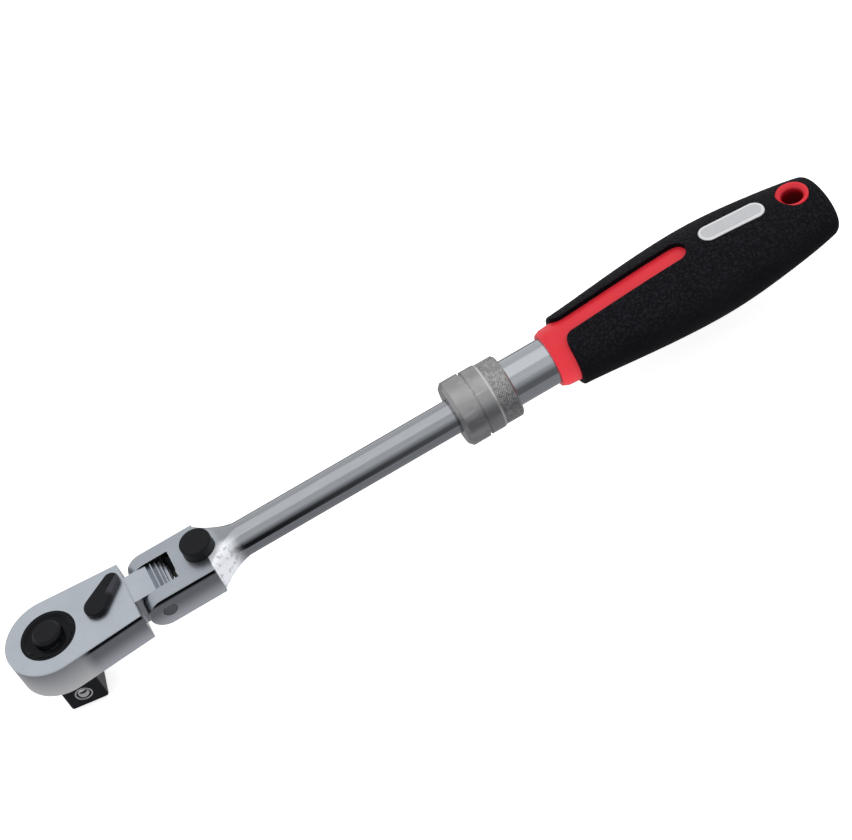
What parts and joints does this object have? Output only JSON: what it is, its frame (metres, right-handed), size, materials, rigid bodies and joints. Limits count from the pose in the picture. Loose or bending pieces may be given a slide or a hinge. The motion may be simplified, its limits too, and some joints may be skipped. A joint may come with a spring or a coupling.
{
  "type": "telescoping flex-head ratchet bar",
  "caption": "Half-inch square drive ratchet on a locking pivoting head, with a bar that telescopes into a chromed tube and a shaped two-tone handle.",
  "frame": {"origin": "on the drive square's axis, at the mid height of the ratchet head", "axes": "+X from the head along the bar to the handle, +Z out of the face with the reversing lever, opposite to the drive square"},
  "size_m": [0.2965, 0.0335, 0.0394],
  "materials": {
    "satin_chrome": "satin nickel-chrome plate on forged steel",
    "polished_chrome": "bright polished chrome plate",
    "brushed_collar": "turned, satin plated steel",
    "black_steel": "glossy black oxide and oil on steel",
    "black_knob": "satin black steel push button",
    "plain_steel": "plain machined steel",
    "bearing_steel": "ground bearing steel",
    "spring_steel": "drawn spring wire",
    "seal_rubber": "black nitrile rubber",
    "black_grip": "grained soft-touch black overmould",
    "red_core": "smooth red moulding, slightly glossy",
    "grey_plate": "blank grey plate, satin"
  },
  "bodies": {
    "handle": {"outer_tube": "polished_chrome", "lock_sleeve": "polished_chrome", "spring_clip": "plain_steel", "collar_spring": "spring_steel", "tube_plug": "plain_steel", "tube_pin": "plain_steel", "end_bumper": "seal_rubber", "handle_core": "red_core", "handle_grip": "black_grip", "name_plate": "grey_plate", "hanging_eyelet": "red_core"},
    "bar": {"yoke_bar": "satin_chrome", "hinge_pin": "satin_chrome", "bar_stop_ring": "plain_steel", "bar_stop_screw": "plain_steel", "lock_spring": "spring_steel"},
    "head": {"head_housing": "satin_chrome", "cover_plate": "satin_chrome", "cover_screws": "plain_steel", "hub_seal": "seal_rubber"},
    "drive": {"drive_gear": "black_steel", "release_spring": "spring_steel"},
    "release": {"release_button": "black_steel", "release_pin": "plain_steel"},
    "ball": {"socket_ball": "bearing_steel"},
    "lever": {"reversing_lever": "black_steel", "lever_detent_ball": "bearing_steel", "lever_detent_spring": "spring_steel"},
    "pawl": {"reversing_pawl": "plain_steel"},
    "knob": {"lock_button": "black_knob"},
    "plunger": {"lock_plunger": "plain_steel"},
    "collar": {"lock_collar": "brushed_collar", "collar_end_ring": "brushed_collar"},
    "near_ball": {"lock_ball_near": "bearing_steel"},
    "far_ball": {"lock_ball_far": "bearing_steel"}
  },
  "joints": [
    {"name": "bar_slide", "type": "slide", "parent": "handle", "child": "bar", "axis": [-1, 0, 0], "range_m": [0, 0.09]},
    {"name": "head_flex", "type": "hinge", "parent": "bar", "child": "head", "pos_m": [0.0366, 0, 0], "axis": [0, 1, 0], "range_deg": [-90, 90]},
    {"name": "drive_turn", "type": "hinge", "parent": "head", "child": "drive", "pos_m": [0, 0, 0], "axis": [0, 0, 1], "continuous": true},
    {"name": "release_push", "type": "slide", "parent": "drive", "child": "release", "axis": [0, 0, -1], "range_m": [0, 0.0025], "stiffness_N_per_m": 600, "springref_m": -0.004, "deforming": ["release_spring"]},
    {"name": "socket_ball_in", "type": "slide", "parent": "drive", "child": "ball", "axis": [0.1736, 0.9848, 0], "range_m": [0, 0.0008]},
    {"name": "lever_turn", "type": "hinge", "parent": "head", "child": "lever", "pos_m": [0.0176, 0, 0], "axis": [0, 0, 1], "range_deg": [-80, 0]},
    {"name": "pawl_rock", "type": "hinge", "parent": "head", "child": "pawl", "pos_m": [0.0176, 0, 0], "axis": [0, 0, 1], "range_deg": [0, 6]},
    {"name": "lock_press", "type": "slide", "parent": "bar", "child": "knob", "axis": [0, 0, 1], "range_m": [0, 0.0015], "stiffness_N_per_m": 900, "springref_m": 0.0035, "deforming": ["lock_spring"]},
    {"name": "plunger_slide", "type": "slide", "parent": "bar", "child": "plunger", "axis": [-1, 0, 0], "range_m": [0, 0.00101]},
    {"name": "collar_slide", "type": "slide", "parent": "handle", "child": "collar", "axis": [-1, 0, 0], "range_m": [0, 0.003], "stiffness_N_per_m": 900, "springref_m": 0.006, "deforming": ["collar_spring"]},
    {"name": "near_ball_in", "type": "slide", "parent": "handle", "child": "near_ball", "axis": [0, 1, 0], "range_m": [0, 0.0009]},
    {"name": "far_ball_in", "type": "slide", "parent": "handle", "child": "far_ball", "axis": [0, -1, 0], "range_m": [0, 0.0009]}
  ],
  "couplings": [
    {"joint": "socket_ball_in", "follows": "release_push", "ratio": 0.32},
    {"joint": "pawl_rock", "follows": "lever_turn", "ratio": -0.075},
    {"joint": "plunger_slide", "follows": "lock_press", "ratio": 0.6667},
    {"joint": "near_ball_in", "follows": "collar_slide", "ratio": 0.3},
    {"joint": "far_ball_in", "follows": "collar_slide", "ratio": 0.3}
  ]
}
